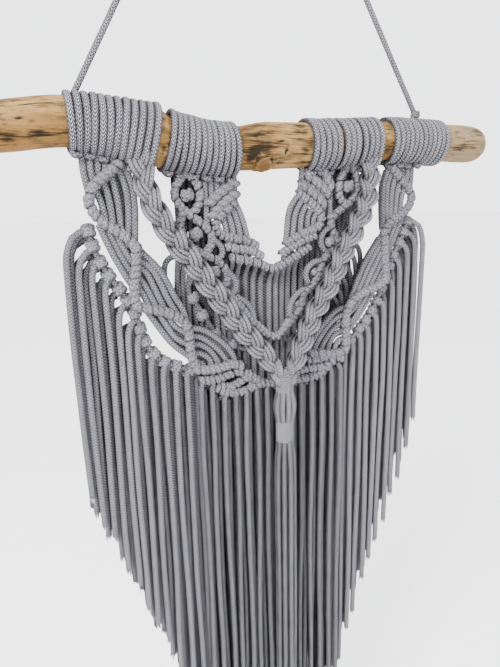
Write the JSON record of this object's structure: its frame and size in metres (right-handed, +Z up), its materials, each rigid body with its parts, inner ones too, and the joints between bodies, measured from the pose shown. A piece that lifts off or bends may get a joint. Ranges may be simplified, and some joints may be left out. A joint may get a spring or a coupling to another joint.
{
  "type": "macrame wall hanging on a driftwood stick",
  "caption": "Grey macrame wall hanging on a driftwood stick: knotted bars, swags and plaits over a long V-cut fringe.",
  "frame": {"origin": "apex of the hanging cord, where it lies over the wall nail", "axes": "+X along the stick to the viewer's right, +Y into the wall, +Z up"},
  "size_m": [0.4144, 0.049, 0.9088],
  "materials": {
    "grey_cotton": "matt braided cotton cord",
    "driftwood": "bare, smoothed by water"
  },
  "bodies": {
    "root": {"driftwood_stick": "driftwood", "mount_wraps_1": "grey_cotton", "mount_wraps_2": "grey_cotton", "mount_wraps_3": "grey_cotton", "mount_wraps_4": "grey_cotton", "mount_wraps_5": "grey_cotton", "mount_wraps_6": "grey_cotton", "hanging_cord": "grey_cotton", "left_wing": "grey_cotton", "right_wing": "grey_cotton", "left_swag_fringe": "grey_cotton", "right_swag_fringe": "grey_cotton", "centre_panel": "grey_cotton", "base_fringe": "grey_cotton", "left_plait": "grey_cotton", "right_plait": "grey_cotton", "plait_tassel": "grey_cotton"}
  },
  "joints": []
}
